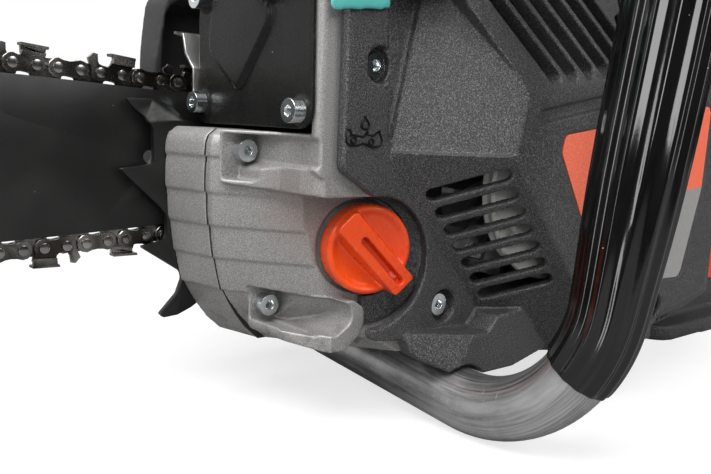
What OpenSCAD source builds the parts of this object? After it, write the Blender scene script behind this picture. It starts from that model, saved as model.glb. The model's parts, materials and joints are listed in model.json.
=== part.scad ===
// Petrol chainsaw with a sprocket-nose guide bar.
// X runs rearward from the bar nose, -Y is the starter side, +Z is up, millimetres.
// Shapes are drawn about the crank line (X = 0) and the bar plane (Y = 0), on ground at Z = 0.

/* [Engine] */
// Height of the crankshaft above the ground
crank_z = 96; // [94:1:98]
// Distance of the cylinder axis to the left of the bar plane
cylinder_offset = 42; // [41:0.5:43]
// Bore of the cylinder
bore_d = 45; // [43:0.5:46]
// Number of cooling fins on the cylinder
fin_count = 6; // [4:1:6]

/* [Guide bar and chain] */
// Height of the bar's centre line above the ground
bar_z = 102; // [101:0.5:103]
// Greatest height of the bar from rail to rail
bar_h = 66.4; // [65:0.2:68]
// Radius of the bar's long curved rails
bar_curve = 3650; // [3400:50:4000]
// Position of the bar's widest point along X
bar_wide_x = -340; // [-350:1:-330]
// Thickness of the bar
bar_t = 4; // [3.8:0.1:4.2]
// Chain pitch, half the distance between every third rivet
pitch = 8.255; // [8.255]
// Teeth on the sprocket in the bar's nose
nose_teeth = 12; // [11:1:12]
// Teeth on the rim sprocket that drives the chain
drive_teeth = 8; // [8]
// Distance that the chain is advanced along its path
chain_phase = 20; // [0:0.1:66]

/* [Handles] */
// Outer diameter of the front handle's tube
tube_d = 24.6; // [23:0.2:25]
// Outer diameter of the front handle's grip sleeve
sleeve_d = 35; // [33:0.5:36]
// Backward lean of the front handle in degrees
handle_lean = 9; // [8.6:0.1:9.4]
// Height of the front handle's cross bar above its base
handle_rise = 270; // [265:1:275]

/* [Oil cap] */
// Diameter of the oil cap
cap_d = 34.4; // [32:0.2:36]
// Angle of the oil cap's face away from the starter side in degrees
cap_turn = 18; // [16:1:20]

/* [Starter cover] */
// Greatest distance of the cover from the bar plane
cover_reach = 118; // [116:1:120]
// Number of cooling slots in the lower panel
slot_count = 7; // [5:1:7]
// Width of one lower cooling slot
slot_w = 6; // [5:0.2:6.4]

/* [Hidden] */
$fn = 48;

// Rounded polygon: every corner of p becomes an arc of radius r, or of r[i]
function unit(v) = v / norm(v);
function corner(a, b, c, r, n) =
    r == 0 ? [b] :
    let (u = unit(a - b), v = unit(c - b), half = acos(u * v) / 2)
    let (o = b + unit(u + v) * r / sin(half), s = b + u * r / tan(half) - o)
    let (from = atan2(s.y, s.x), turn = (180 - 2 * half) * sign(cross(b - a, c - b)))
    [for (k = [0:n]) o + r * [cos(from + turn * k / n), sin(from + turn * k / n)]];
function rounded(p, r, n = 6) =
    let (m = len(p))
    [for (i = [0:m - 1]) each corner(p[(i + m - 1) % m], p[i], p[(i + 1) % m], is_list(r) ? r[i] : r, n)];

// Extrusions of a side view, a front view and a plan
module side(y0, y1) { translate([0, y1, 0]) rotate([90, 0, 0]) linear_extrude(y1 - y0) children(); }
module across(x0, x1) { translate([x0, 0, 0]) rotate([90, 0, 90]) linear_extrude(x1 - x0) children(); }
module upright(z0, z1) { translate([0, 0, z0]) linear_extrude(z1 - z0) children(); }

// Cylinder along Y, and a solid of revolution about a line along Y with points [radius, y]
module shaft(x, z, y0, y1, r) { translate([x, y1, z]) rotate([90, 0, 0]) cylinder(r = r, h = y1 - y0); }
module turned(x, z, points) { translate([x, 0, z]) rotate([-90, 0, 0]) rotate_extrude() polygon(points); }

// Moves local +Z to direction n at point p, and removes everything beyond that plane
module on_plane(p, n) { translate(p) rotate([0, acos(n.z), atan2(n.y, n.x)]) children(); }
module beyond(p, n, size = 400) { on_plane(p, n) translate([-size / 2, -size / 2, 0]) cube(size); }

// Socket-head screw with its head's face at the origin, looking along +Z
module socket_screw(head_d, head_h, shank_d, shank_l, key_d) {
    difference() {
        union() {
            translate([0, 0, -head_h]) cylinder(d = head_d, h = head_h);
            translate([0, 0, -head_h - shank_l]) cylinder(d = shank_d, h = shank_l + 0.1);
        }
        translate([0, 0, -head_h * 0.6]) cylinder(d = key_d, h = head_h, $fn = 6);
    }
}

// Bar and chain geometry
link_step = 2 * pitch;
rivet_lift = 4;
cutter_h = 7.6;
groove_depth = 8;
gauge = 1.5;
strap_t = 1.5;
nose_rivet_r = nose_teeth * link_step / (2 * PI);
nose_r = nose_rivet_r - rivet_lift;
drive_rivet_r = drive_teeth * link_step / (2 * PI);
rail_rise = bar_curve - bar_h / 2;
nose_x = bar_wide_x - sqrt(pow(bar_curve - nose_r, 2) - pow(rail_rise, 2));
nose_turn = atan2(rail_rise, nose_x - bar_wide_x);
tail_x = -32;
rail_steps = 40;
nose_steps = 36;
function rail_angle(x, off) = acos((x - bar_wide_x) / (bar_curve + off));
function rail_point(a, off) = [bar_wide_x, bar_z - rail_rise] + (bar_curve + off) * [cos(a), sin(a)];
function upper_rail(off, x0) =
    let (a = rail_angle(x0, off))
    [for (k = [0:rail_steps]) rail_point(a + (nose_turn - a) * k / rail_steps, off)];
function nose_arc(off) =
    [for (k = [1:nose_steps - 1])
        let (a = nose_turn + (360 - 2 * nose_turn) * k / nose_steps)
        [nose_x, bar_z] + (nose_r + off) * [cos(a), sin(a)]];
function lower_rail(off, x0) =
    let (up = upper_rail(off, x0))
    [for (k = [0:rail_steps]) [up[rail_steps - k].x, 2 * bar_z - up[rail_steps - k].y]];
function bar_outline(off, x0) = concat(upper_rail(off, x0), nose_arc(off), lower_rail(off, x0));

// Closed path of the rivets, round the rim sprocket, along the rails and round the nose
crank = [0, crank_z];
sprocket_steps = 24;
function tangent_angle(p, dir) =
    atan2(p.y - crank.y, p.x - crank.x) - dir * acos(drive_rivet_r / norm(p - crank));
top_end = upper_rail(rivet_lift, tail_x)[0];
low_end = [top_end.x, 2 * bar_z - top_end.y];
wrap_from = tangent_angle(low_end, -1);
wrap_to = tangent_angle(top_end, 1);
function sprocket_arc() =
    [for (k = [0:sprocket_steps])
        let (a = wrap_from + (wrap_to - wrap_from) * k / sprocket_steps)
        crank + drive_rivet_r * [cos(a), sin(a)]];
path = concat(sprocket_arc(), bar_outline(rivet_lift, tail_x));
path_n = len(path);
reach = [for (i = 0, d = 0; i <= path_n; d = d + norm(path[(i + 1) % path_n] - path[i % path_n]), i = i + 1)
    d];
reach_x = [for (i = [0:path_n]) [reach[i], path[i % path_n].x]];
reach_z = [for (i = [0:path_n]) [reach[i], path[i % path_n].y]];
loop = reach[path_n];
link_count = round(loop / link_step);
step = loop / link_count;
strap_share = 0.527;
strap_l = step * strap_share;
drive_l = step - strap_l;
function along(s) = let (t = s - loop * floor(s / loop)) [lookup(t, reach_x), lookup(t, reach_z)];
function lead(k) = along(chain_phase + k * step + strap_l);
function trail(k) = along(chain_phase + k * step);

// Places a link drawn from its leading rivet at the origin towards its trailing rivet on +X
module link_between(a, b) {
    heading = atan2(b.y - a.y, b.x - a.x);
    translate(a) rotate(heading) children();
}

// Outlines of the chain's links
end_r = 3.6;
waist = 2.7;
function end_arc(x, r, a0, a1, n = 8) = [for (k = [0:n])
    [x, 0] + r * [cos(a0 + (a1 - a0) * k / n), sin(a0 + (a1 - a0) * k / n)]];
strap_shape = concat(
    end_arc(0, end_r, 55, 305), [[strap_l / 2, -waist]],
    end_arc(strap_l, end_r, -125, 125), [[strap_l / 2, waist]]
);
drive_shape = concat(
    end_arc(0, 3.2, 70, 200), [[-1.2, -4.6], [drive_l * 0.35, -10.6], [drive_l * 0.7, -10.2],
        [drive_l + 1.6, -4.6]],
    end_arc(drive_l, 3.2, -20, 110)
);
gullet_r = 2.9;
gullet_x = 1.6;
cutter_plate = concat(
    end_arc(strap_l, end_r, -125, 30, 6),
    [[strap_l + 4.2, 3], [strap_l + 4.6, 4.6], [4.6, 5]],
    [for (k = [0:6]) [gullet_x, 4.9] + gullet_r * [cos(-10 - k * 26), sin(-10 - k * 26)]],
    [[-1.4, 6.8], [-3.1, 7.1], [-5.2, 5], [-3.8, 1.6]],
    end_arc(0, end_r, 200, 305, 5),
    [[strap_l / 2, -waist]]
);
cutter_side = [[4.4, 4], [strap_l + 4.6, 3.4], [strap_l + 4.8, 6.6], [4.2, 7.2]];
cutter_top = [[3.6, 6.6], [strap_l + 4.9, 6], [strap_l + 4.9, 7], [3.4, cutter_h]];

cover_out = 38;
handle_side = -160;

// Side views of the two crankcase halves
seam_y = -31;
case_right_y = -7;
chin_curve = [
    [29, -101.5], [33, -106.5], [38, -110.8], [44, -115], [52, -119.6], [61, -122.4], [71, -124.6],
        [84, -126.7],
    [97, -127.8], [110, -127.6], [113.5, -126.6], [115.5, -123.5]
];
board_top = [115.5, 105.9, 91.9, 78.9, 65.9, 52.4];
board_low = [105, 91, 78, 65, 51.5, 29];
board_out = 0.8;
function board(i) =
    [for (k = [0:4])
        let (z = board_top[i] + (board_low[i] - board_top[i]) * k / 4)
        [lookup(z, chin_curve) - (i < 5 ? board_out * k / 4 : 0), z]];
case_back = [[-101.5, 29], [44, 29], [58, 58], [58, 120], [46, 131], [-46, 131], [-50, 115.5], [-124, 115.5]];
case_back_r = [0, 14, 20, 10, 2, 2, 3, 0];
function case_outline() = concat(
    [for (i = [0:5]) each board(i)],
    [for (i = [1:6]) each corner(case_back[i - 1], case_back[i], case_back[i + 1], case_back_r[i], 5)]
);

// Right-hand crankcase half: bar pad, crank chamber, an arm for the front handle's end and a foot
arm_x = [-42, -10];
arm_z = [154, 171];
module crankcase_right() {
    color("DarkGray") difference() {
        union() {
            intersection() {
                translate([-128, seam_y, 0]) rotate([0, 0, 10]) translate([128, -seam_y, 0])
                    side(seam_y - 40, 60) polygon(case_outline());
                upright(0, 200)
                    polygon([[-150, case_right_y], [-150, seam_y + 0.3], [57, seam_y + 0.3],
                        [57, case_right_y]]);
            }
            side(-8, -bar_t / 2) polygon(rounded([[-107, 90], [-107, 114], [-52, 114], [-52, 90]], 6));
            side(-30, case_right_y) polygon(rounded([[10, 0], [42, 0], [46, 36], [6, 36]], [3, 3, 1, 1]));
            translate([arm_x[0], -11.8, 120]) cube([arm_x[1] - arm_x[0], 4.8, arm_z[1] - 120]);
            translate([arm_x[0], -11.8, arm_z[0]]) cube([arm_x[1] - arm_x[0], 46, arm_z[1] - arm_z[0]]);
        }
        shaft(0, crank_z, -32, -20, 34);
        shaft(0, crank_z, -20.5, 0, 16);
        shaft(0, crank_z, -12, 0, 38);
        for (x = bar_stud_x) shaft(x, bar_z, -25, 0, 4);
        case_bores();
    }
}

// Screw holes that run through both halves
screw_spots = [[-118.6, 107.7], [-106.6, 46.7], [-20, 40], [44, 44], [44, 118]];
module case_bores() {
    for (s = screw_spots) shaft(s.x, s.y, -64, -16, 2.6);
    post(0, web_y, 100, 140, bore_d / 2 + 1);
    handle_tube(tube_r + 0.1, 0.2);
}

// Left-hand crankcase half: swept-back front, oil filler face and the cheek beside the muffler
front_left = [-125.6, -39];
cap_edge = [-108, -64];
facet_far = 50;
cap_far = cap_edge + facet_far * [cos(cap_turn), -sin(cap_turn)];
case_left_y = -62;
module swept(out) {
    translate([front_left.x, front_left.y, 0]) rotate([0, 0, sweep])
        translate([128.4 - out, -front_left.y, 0])
        side(-160, 120) polygon(case_outline());
}
module crankcase_left() {
    color("DarkGray") difference() {
        union() {
            intersection() {
                side(-110, seam_y - 0.3) polygon(case_outline());
                swept(0);
                upright(0, 200) polygon([
                    [-140, seam_y], [-140, -64], cap_edge, cap_far,
                    [-56, case_left_y], [80, case_left_y], [80, seam_y]
                ]);
            }
            upper_band();
            cheek();
            intersection() {
                side(-78, -40) polygon(rounded(lobe, 4));
                upright(0, 80) polygon([[-124, -40], [-124, -47], [-114, -58], [-101, -78], [-80, -78],
                    [-80, -40]]);
            }
        }
        shaft(0, crank_z, -60, -30, 34);
        shaft(0, crank_z, -80, -59, 16);
        oil_filler();
        side(-120, screw_head_y + 5) polygon(rounded(upper_notch, 1.5));
        side(-120, screw_head_y + 5) polygon(rounded(lower_notch, 1.5));
        difference() {
            side(-120, screw_head_y + 5) polygon(rounded(scoop, 4));
            swept(-scoop_depth);
        }
        shaft(strip_screw.x, strip_screw.y, -100, -70, 9.6);
        case_bores();
    }
}

// Thicker band along the top of the left half; it runs into the cheek and slopes back below it
band_plan = [
    [-128, -40], [-122, -49], [-117.4, -57.4], [-115.6, -63], [-115.2, -74], [-113.8, -80.5], [-111, -83.3],
    [-84.7, -83.3], [-84.7, -40]
];
module upper_band() {
    intersection() {
        upright(0, 200) polygon(band_plan);
        union() {
            side(-110, -40) polygon(rounded([[-140, 97], [-140, 115.4], [-84.7, 115.4], [-84.7, 93],
                [-108, 93]], 1));
            across(-114.5, -84.7)
                polygon([[-83.4, 115], [-83.4, 105], [-77, 99], [-68, 93.6], [-64, 93], [-50, 93.4],
                    [-50, 115]]);
        }
    }
}
upper_notch = [[-134, 97], [-119, 96.6], [-118.8, 101.5], [-113.6, 103.5], [-113.4, 114], [-134, 114]];
lower_notch = [[-120, 55.5], [-100.6, 52.6], [-100.6, 43], [-104, 39.5], [-112, 40.5]];
scoop = [[-112, 41], [-98, 40], [-90.5, 44.5], [-91.5, 52.4], [-112, 52.8]];
scoop_depth = 2;
lobe = [[-113, 37], [-102, 33.9], [-94.6, 33.7], [-87, 38.4], [-84.4, 44], [-85, 49.5], [-90, 53],
    [-113, 52]];
sweep = 35;
strip_screw = [-90.9, 140.6];

// Wall beside the muffler
module cheek() {
    intersection() {
        side(-84, -79.3)
            polygon(rounded([[-115, 100], [-115, 166], [-108, 171], [-60, 171], [-60, 100]],
                [4, 8, 4, 2, 2]));
        upright(60, 200)
            polygon(rounded([[-115.5, -74], [-115.5, -83.4], [-60, -83.4], [-60, -74]], [1, 3.4, 1, 1]));
    }
}

// Axis of the oil filler, out of the casting
cap_centre = [-83, -72.3, 72.5];
cap_axis = [-sin(cap_turn), -cos(cap_turn), 0];
module on_cap() { on_plane(cap_centre, cap_axis) children(); }
module oil_filler() {
    on_cap() translate([0, 0, -26]) cylinder(d = cap_d - 7, h = 40);
    on_cap() translate([0, 0, -3]) cylinder(d = cap_d + 2.4, h = 30);
}

// Heads of the two front screws lie in open troughs
screw_head_y = -46.2;

// Sealing sheet between the two halves
module crankcase_gasket() {
    color("DimGray") difference() {
        side(seam_y - 0.3, seam_y + 0.3) polygon(case_outline());
        shaft(0, crank_z, -40, -20, 34);
        case_bores();
    }
}

// Screws that hold the halves together
module crankcase_screws() {
    color("Silver") for (i = [0:len(screw_spots) - 1]) {
        s = screw_spots[i];
        translate([s.x, i < 2 ? screw_head_y : case_left_y - 5, s.y]) rotate([90, 0, 0])
            socket_screw(8.5, 5, 5, i < 2 ? 20 : 38, 4.2);
    }
}

// Crankshaft with two round webs, left open at the crank pin
web_y = -cylinder_offset;
web_gap = 6.2;
web_t = 9;
web_r = 25;
module crankshaft() {
    color("Silver") {
        turned(0, crank_z, [
            [0, 33], [5, 33], [6, 32], [6, -5.5], [7.5, -5.5], [7.5, -14], [8.5, -14],
                [8.5, web_y + web_gap + web_t],
            [web_r, web_y + web_gap + web_t], [web_r, web_y + web_gap], [0, web_y + web_gap]
        ]);
        turned(0, crank_z, [
            [0, web_y - web_gap], [web_r, web_y - web_gap], [web_r, web_y - web_gap - web_t],
            [8.5, web_y - web_gap - web_t], [8.5, -62], [7, -62], [7, -89], [6, -90], [0, -90]
        ]);
    }
}

// Main bearings of the crankshaft
module bearing_ring(y0, y1) {
    difference() {
        shaft(0, crank_z, y0, y1, 15.9);
        shaft(0, crank_z, y0 - 1, y1 + 1, 8.6);
    }
}
module crank_bearings() {
    color("Silver") {
        bearing_ring(-20, -14.2);
        bearing_ring(-61.8, -58.9);
    }
}

// Crank pin, connecting rod and piston at top dead centre
throw = 16;
rod_l = 50;
pin_z = crank_z + throw;
wrist_z = pin_z + rod_l;
piston_top = wrist_z + 10;
module crank_pin() { color("Silver") shaft(0, pin_z, web_y - web_gap + 0.4, web_y + web_gap - 0.4, 6); }
module connecting_rod() {
    color("Gray") difference() {
        union() {
            shaft(0, pin_z, web_y - 5, web_y + 5, 9.5);
            shaft(0, wrist_z, web_y - 5, web_y + 5, 7.5);
            translate([-3.5, web_y - 3, pin_z + 7]) cube([7, 6, rod_l - 13]);
        }
        shaft(0, pin_z, -90, 0, 6.02);
        shaft(0, wrist_z, -90, 0, 5.02);
    }
}
module piston() {
    color("Silver") union() {
        difference() {
            translate([0, web_y, wrist_z - 8.5]) cylinder(d = bore_d - 0.1, h = 18.5);
            translate([0, web_y, wrist_z - 14]) cylinder(d = bore_d - 6, h = 21.8);
            for (z = [piston_top - 2.6, piston_top - 5]) translate([0, web_y, z]) difference() {
                cylinder(d = bore_d + 2, h = 1.2);
                cylinder(d = bore_d - 2.6, h = 1.2);
            }
        }
        shaft(0, wrist_z, web_y - bore_d / 2 + 2, web_y + bore_d / 2 - 2, 5);
    }
}

// Finned cylinder with its flange, ports and spark plug seat
deck_z = 131;
head_z = piston_top + 9;
fin_pitch = 5.2;
fin_t = 2;
exhaust_z = deck_z + 26;
intake_z = deck_z + 22;
module post(x, y, z0, z1, r) { translate([x, y, z0]) cylinder(r = r, h = z1 - z0); }
module pipe_x(x0, x1, y, z, r) { translate([x0, y, z]) rotate([0, 90, 0]) cylinder(r = r, h = x1 - x0); }
module fin_plate(half_w, z) {
    upright(z, z + fin_t) translate([0, web_y])
        polygon(rounded([[-half_w, -34], [half_w, -34], [half_w, 28], [-half_w, 28]], 10));
}
module engine_cylinder() {
    color("LightGray") difference() {
        union() {
            upright(deck_z + 0.2, deck_z + 6) translate([0, web_y])
                polygon(rounded([[-43, -19.5], [43, -19.5], [43, 30], [-43, 30]], 6));
            post(0, web_y, deck_z + 0.2, head_z, bore_d / 2 + 4);
            for (k = [0:fin_count - 1]) fin_plate(40 - k * 1.2, deck_z + 12 + k * fin_pitch);
            pipe_x(-58, -10, web_y, exhaust_z, 14);
            pipe_x(10, 54, web_y, intake_z, 13);
        }
        post(0, web_y, deck_z - 1, piston_top + 1.5, bore_d / 2);
        pipe_x(-60, -15, web_y, exhaust_z, 9.5);
        pipe_x(15, 60, web_y, intake_z, 9);
        post(0, web_y, piston_top, head_z + 20, 5.1);
    }
}
module spark_plug() {
    color("White") union() {
        post(0, web_y, piston_top + 1.8, head_z + 1, 5);
        translate([0, web_y, head_z + 0.2]) cylinder(d = 17, h = 5, $fn = 6);
        post(0, web_y, head_z + 5, head_z + 13, 5);
    }
}
module plug_boot() {
    color("Black") difference() {
        union() {
            post(0, web_y, head_z + 6, head_z + 20, 8.5);
            pipe_x(0, 30, web_y, head_z + 15, 4.5);
        }
        post(0, web_y, head_z + 5, head_z + 13.2, 5.1);
    }
}

// Exhaust muffler: pressed box, front plate with a raised wedge, heat plate and bolts
muffler_front = -115;
module muffler_box(g) {
    intersection() {
        across(muffler_front + g, -58.2 - g)
            polygon(rounded([[-78.8 + g, 118 + g], [-8 - g, 118 + g], [-8 - g, 171 - g],
                [-78.8 + g, 171 - g]], 9 - g));
        side(-90, 0) polygon(rounded(
            [[-115.5 + g, 117 + g], [-58 - g, 117 + g], [-58 - g, 172 - g], [-115.5 + g, 172 - g]],
                [3, 6, 10, 5]));
    }
}
module muffler_body() {
    color("DimGray") difference() {
        muffler_box(0);
        muffler_box(2);
        pipe_x(-70, -50, web_y, exhaust_z, 9.5);
    }
}
muffler_bolt_spots = [[-11.6, 125.2], [-76, 123.2], [-12, 166], [-56, 166]];
module muffler_shield() {
    color("DimGray") difference() {
        union() {
            across(muffler_front - 2, muffler_front - 0.1)
                polygon(rounded([[-82, 117], [-6, 117], [-6, 172], [-80, 172]], [7, 5, 5, 5]));
            across(muffler_front - 4, muffler_front - 1)
                polygon(rounded([[-37.2, 130], [-16, 146], [-20, 171], [-47, 171], [-60, 158]],
                    [4, 8, 3, 3, 8]));
            for (b = muffler_bolt_spots) pipe_x(muffler_front - 3, muffler_front - 1, b.x, b.y, 4.6);
        }
        for (b = muffler_bolt_spots) {
            pipe_x(muffler_front - 9, muffler_front + 5, b.x, b.y, 2.6);
            pipe_x(muffler_front - 9, muffler_front - 3, b.x, b.y, 5.6);
        }
    }
}
bracket_outline = [
    [-5.8, 129.4], [-4.6, 129.4], [-4.6, 138.6], [1.8, 145], [4, 152], [10.8, 153.2], [10.8, 154.6],
    [3, 153.4], [0.5, 145.6], [-5.8, 139.2]
];
module muffler_bracket() { color("LightGray") across(-119, -72) polygon(bracket_outline); }
module muffler_bolts() {
    color("Silver") for (b = muffler_bolt_spots)
        translate([muffler_front - 7.9, b.x, b.y]) rotate([0, -90, 0]) socket_screw(8.5, 4.9, 5, 2.6, 4.2);
}

// Intake: rubber boot, carburettor and air filter under the top cover
module intake_boot() {
    color("Black") difference() {
        union() {
            for (x = [54.2, 59, 63.8]) pipe_x(x, x + 2.6, web_y, intake_z, 15);
            pipe_x(54.2, 66.4, web_y, intake_z, 13);
        }
        pipe_x(50, 70, web_y, intake_z, 9);
    }
}
module carburettor() {
    color("LightGray") difference() {
        union() {
            translate([66.6, web_y - 19, intake_z - 18]) cube([30, 38, 34]);
            pipe_x(96, 101, web_y, intake_z, 15);
            post(80, web_y - 10, intake_z + 15, intake_z + 21, 6);
        }
        pipe_x(60, 110, web_y, intake_z, 9);
    }
}
module air_filter() {
    color("WhiteSmoke") union() {
        upright(178, 186) polygon(rounded([[44, -76], [104, -76], [104, -6], [44, -6]], 12));
        for (k = [0:6]) translate([50 + k * 6.4, -70, 185]) cube([3.4, 58, 12]);
    }
}

// Top cover: a moulded hood over the cylinder and the filter
cover_low_z = 171.4;
function hood_side(g) = rounded(
    [[-113 + g, 150], [-113 + g, 194 - g], [-84, 211 - g], [30, 217 - g], [88, 209 - g], [111 - g, 186 - g],
        [112 - g, 150]],
    [1, 12, 30, 60, 22, 14, 1]
);
function hood_front(g) = rounded(
    [[-84 + g, 150], [-84 + g, 190 - g], [-68, 211 - g], [-48, 218 - g], [-30, 218 - g], [-8, 210 - g],
        [6 - g, 190 - g], [6 - g, 150]],
    [1, 16, 14, 20, 20, 14, 16, 1]
);
module hood(g, z0) {
    intersection() {
        side(-100, 20) polygon(hood_side(g));
        across(-130, 130) polygon(hood_front(g));
        upright(z0, 240) polygon(rounded([[-113 + g, -84 + g], [112 - g, -84 + g], [112 - g, 6 - g],
            [-113 + g, 6 - g]], 10));
    }
}
apron = [[-116.5, 156.6], [-116.5, 176], [-89.2, 176], [-89.2, 160]];
module top_cover() {
    color("Turquoise") difference() {
        union() {
            hood(0, cover_low_z);
            side(-90.2, -88.6) polygon(rounded(apron, 1.5));
            side(-90.2, -82.5) polygon([[-112, 172.4], [-112, 176], [-90, 176], [-90, 172.4]]);
        }
        hood(3, 0);
        for (k = [0:4]) translate([-70 + k * 9, -64, 200]) rotate([0, 0, 18]) cube([3.4, 44, 30]);
        translate([-120, -78, 165]) cube([30, 72, 24]);
    }
}

// Flywheel with cooling blades
module flywheel() {
    color("DimGray") difference() {
        union() {
            turned(0, crank_z, [[0, -66], [13, -66], [13, -70], [45, -70], [45, -78], [14, -78], [14, -86],
                [0, -86]]);
            for (k = [0:15]) translate([0, 0, crank_z]) rotate([0, k * 22.5, 0]) translate([20, -87, -6])
                rotate([0, -18, 0]) cube([23, 9.5, 2.2]);
        }
        shaft(0, crank_z, -100, -60, 7.02);
    }
}

// Rope reel on the starter cover's post
post_r = 6;
reel_r = 39;
module rope_reel() {
    color("Gainsboro") difference() {
        union() {
            shaft(0, crank_z, -101, -99, reel_r);
            shaft(0, crank_z, -100, -94, reel_r - 13);
            shaft(0, crank_z, -94.5, -92, reel_r - 3);
        }
        shaft(0, crank_z, -110, -80, post_r + 0.08);
        for (k = [0:5]) rotate_about_crank(k * 60 + 30) shaft(32, crank_z, -110, -98.5, 4);
    }
}
module rotate_about_crank(a) { translate([0, 0, crank_z]) rotate([0, a, 0]) translate([0, 0, -crank_z])
    children(); }

// Starter cover: flat flange, fan housing with slanted facets, cooling slots and a recessed label
flange_y = -88;
dome_y = -cover_reach;
brow_z = 110;
function facing_left(n) = n.y > 0 ? -n : n;
function plane_normal(a, b, c) = facing_left(unit(cross(b - a, c - a)));
ridge_low = [-6, dome_y, 59];
ridge_mid = [-48, dome_y, 106];
ridge_top = [-43, dome_y, 132];
slot_left = [-66.7, -91.2, 90];
panel_n = plane_normal(ridge_mid, ridge_low, slot_left);
facet_n = plane_normal([-84, flange_y, 111], [-48, dome_y, 109], ridge_top);
brow_n = plane_normal(ridge_top, [5, dome_y, 140], [-70, -103, 164.6]);
leg_n = plane_normal([-78, -86, 40], [-30, -108, 40], [-74, -92, 24]);
function flange_outline() = rounded(
    [[-107, 170.6], [-107, 103], [-99, 99], [-84, 89], [-84, 52], [-90, 50], [-90, 39], [-66, 36], [60, 27],
        [105, 26],
     [115, 40], [115, 158], [104, 170.6]],
    [3, 5, 8, 3, 2, 2, 4, 6, 6, 8, 12, 14, 10]
);
function dome_outline(g) = rounded(
    [[-84 + g, 170.4 - g], [-84 + g, 60], [-50, 28 + g], [0, 24 + g], [105, 26 + g], [115 - g, 40 + g],
        [115 - g, 158], [104, 170.4 - g]],
    [2, 8, 8, 8, 8, 10, 14, 10]
);
label_outline = rounded([[-19, 119], [-21, 111.5], [-4.5, 86], [16, 54], [84, 52], [98.5, 95],
    [100.5, 135.7]], [3, 4, 20, 3, 5, 16, 4]);

brow_edge = [-63.5, -104.2, 162.7];
heel = [86, dome_y, 38.5];
heel_n = unit([0.1, -0.7, -0.7]);
brow_side_n = -unit(cross([19.9, -12.4, -27.2], [0.35, 0.9, -0.2]));
function brow_top(g) = [[-76 + g, 140], [-76 + g, 182 - g], [31 - g, 182 - g], [31 - g, 140]];
module dome_block(g) { side(dome_y + g, -62.5) polygon(dome_outline(g)); }
module dome(g) {
    difference() {
        dome_block(g);
        intersection() {
            beyond(ridge_top - facet_n * g, facet_n);
            translate([-200, -300, brow_z - g]) cube([400, 400, 200]);
        }
        intersection() {
            beyond(ridge_mid - panel_n * g, panel_n);
            translate([-200, -300, -100]) cube([400, 400, 100 + brow_z - g]);
        }
        intersection() {
            beyond(ridge_top - brow_n * g * 2, brow_n);
            translate([-200, -300, 131 - g]) cube([400, 400, 200]);
        }
        intersection() {
            beyond(heel - heel_n * g, heel_n);
            translate([heel.x - 24 + g, -300, -100]) cube([100, 400, 160]);
        }
    }
    intersection() {
        difference() {
            union() {
                dome_block(g);
                side(dome_y + g, -84.6 - g) polygon(rounded(brow_top(g), 4));
            }
            beyond(ridge_top - brow_n * g * 2, brow_n);
            beyond(brow_edge - brow_side_n * g, brow_side_n);
        }
        translate([-200, -300, 131]) cube([400, 400, 200]);
    }
}

// Envelope of the left casting with a gap, where the flange lies over it
module casting_envelope() {
    gap = [-0.3, -0.4];
    upright(0, 117) polygon([[-140, -20], [-140, -64], cap_edge + gap, cap_far + [0.5, -0.4],
        [-55.5, case_left_y - 0.4], [59, case_left_y - 0.4], [59, -20]]);
    translate([-120, -83.9, 60]) cube([62, 60, 112]);
    translate([-60, -77.4, 118]) cube([180, 60, 80]);
}
module slot_2d(len, w) {
    translate([0, -w / 2]) square([len, w]);
    translate([len, 0]) circle(d = w);
    circle(d = w);
}

// Lower cooling slots lie on the panel, parallel to its first slat
slat_dir = unit([19.1, -22.6, 9.6]);
slot_step = [5.95, 0.22, -7.05];
slot_len = 27;
module lower_slots() {
    axis_a = [cos(atan2(panel_n.y, panel_n.x)) * panel_n.z, sin(atan2(panel_n.y, panel_n.x)) * panel_n.z,
        -sqrt(1 - pow(panel_n.z, 2))];
    axis_b = [-sin(atan2(panel_n.y, panel_n.x)), cos(atan2(panel_n.y, panel_n.x)), 0];
    turn = atan2(slat_dir * axis_b, slat_dir * axis_a);
    for (k = [0:slot_count - 1])
        on_plane(slot_left + slot_step * k + slat_dir * 2 + [0, 0, 4.4], panel_n)
            translate([0, 0, -14]) linear_extrude(22) rotate(turn) slot_2d(slot_len - k * 0.3, slot_w);
}

// Upper cooling slots run up the leaning face
upper_slot_w = 7;
upper_slot_count = 8;
module upper_slots() {
    for (k = [0:upper_slot_count - 1])
        translate([-25.6 + k * 11, -130, 140.4 + k * 2]) rotate([90, 0, 0]) translate([0, 0, -36])
            linear_extrude(50)
            rotate(130) slot_2d(k < 6 ? 46 - k * 2.2 : 32 - k * 2.2, upper_slot_w);
}

// Shallow grooves across the bevelled rear heel
module heel_grooves() {
    for (k = [0:4])
        on_plane(heel + [k * 6 - 16, 6, -6], heel_n) translate([0, 0, -1.4]) linear_extrude(8) rotate(62)
            slot_2d(12, 2.6);
}

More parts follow.
